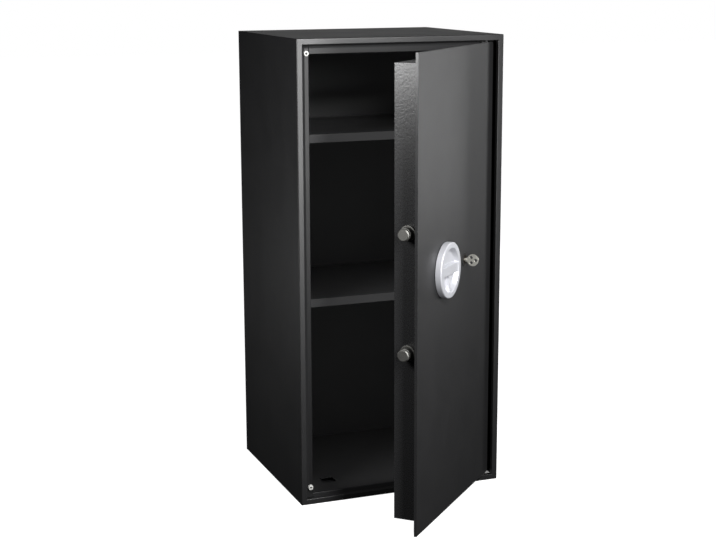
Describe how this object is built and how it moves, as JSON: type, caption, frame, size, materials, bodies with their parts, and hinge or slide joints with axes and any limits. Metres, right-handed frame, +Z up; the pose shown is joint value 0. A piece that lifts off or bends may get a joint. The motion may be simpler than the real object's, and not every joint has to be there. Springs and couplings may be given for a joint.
{
  "type": "armoured safe",
  "caption": "Upright steel document safe with an armoured inset door, round turning handle, key lock, locking bolts and adjustable shelves.",
  "frame": {"origin": "centre of the base, at the floor", "axes": "+Z up; the front with the door faces -Y; +X is to the viewer's right from the front"},
  "size_m": [0.41, 0.6148, 0.875],
  "materials": {
    "body_paint": "satin black powder coat",
    "inner_paint": "matt black powder coat",
    "box_paint": "hammered black powder coat",
    "steel": "bright turned steel",
    "plain_steel": "plain rolled steel",
    "nickel": "nickel plate",
    "silver": "silver satin lacquer on a die casting",
    "bronze": "plain bearing bronze",
    "nylon": "white nylon",
    "rose_black": "black"
  },
  "bodies": {
    "cabinet": {"side_panel_left": "body_paint", "side_panel_right": "body_paint", "roof_panel": "body_paint", "floor_panel": "body_paint", "back_panel": "body_paint", "stile_left": "body_paint", "stile_right": "body_paint", "rail_top": "body_paint", "rail_bottom": "body_paint", "stop_left": "inner_paint", "stop_top": "inner_paint", "stop_bottom": "inner_paint", "jamb_strip": "inner_paint", "hinge_plate_top": "inner_paint", "hinge_plate_bottom": "inner_paint", "hinge_pin_top": "steel", "hinge_pin_bottom": "steel", "hinge_washer": "steel", "inner_floor": "inner_paint", "floor_bearers": "inner_paint", "upright_front_left": "inner_paint", "upright_front_right": "inner_paint", "upright_rear_left": "inner_paint", "upright_rear_right": "inner_paint", "shelf_upper": "inner_paint", "shelf_lower": "inner_paint", "shelf_clips": "steel", "door_buffers": "nylon"},
    "door": {"door_plate": "body_paint", "box_side_free": "box_paint", "box_side_hinge": "box_paint", "box_wall_top": "box_paint", "box_wall_bottom": "box_paint", "box_cover": "box_paint", "cover_screws": "steel", "hinge_block_top": "plain_steel", "hinge_block_bottom": "plain_steel", "fixed_dogs": "steel", "bolt_collar_upper": "steel", "bolt_collar_lower": "steel", "bolt_guide_upper": "plain_steel", "bolt_guide_lower": "plain_steel", "spindle_bush": "bronze", "hard_plate": "plain_steel", "lock_case": "nickel", "lock_cover": "nickel", "lock_screws": "steel", "key_rose": "rose_black"},
    "bolts": {"bolt_upper": "steel", "bolt_lower": "steel", "bolt_bar": "plain_steel", "bolt_bar_screws": "steel"},
    "handle": {"handle_wheel": "silver", "handle_spindle": "steel", "drive_disc": "plain_steel", "spindle_clip": "plain_steel"},
    "plug": {"lock_plug": "nickel"},
    "tongue": {"lock_tongue": "plain_steel"},
    "key": {"door_key": "nickel"}
  },
  "joints": [
    {"name": "door_hinge", "type": "hinge", "parent": "cabinet", "child": "door", "pos_m": [0.1725, -0.1725, 0.4375], "axis": [0, 0, 1], "range_deg": [-45, 65]},
    {"name": "handle_turn", "type": "hinge", "parent": "door", "child": "handle", "pos_m": [0.01411, -0.3415, 0.4705], "axis": [-0.7071, 0.7071, 0], "range_deg": [0, 90]},
    {"name": "bolt_slide", "type": "slide", "parent": "door", "child": "bolts", "axis": [0.7071, 0.7071, 0], "range_m": [0, 0.02]},
    {"name": "key_turn", "type": "hinge", "parent": "door", "child": "plug", "pos_m": [0.08623, -0.26937, 0.4705], "axis": [-0.7071, 0.7071, 0], "range_deg": [0, 90]},
    {"name": "tongue_slide", "type": "slide", "parent": "door", "child": "tongue", "axis": [0, 0, -1], "range_m": [0, 0.012]},
    {"name": "key_pull", "type": "slide", "parent": "plug", "child": "key", "axis": [0.7071, -0.7071, 0], "range_m": [0, 0.045]}
  ],
  "couplings": [
    {"joint": "bolt_slide", "follows": "handle_turn", "m_per_rad": 0.012732},
    {"joint": "tongue_slide", "follows": "key_turn", "m_per_rad": 0.0076394}
  ]
}
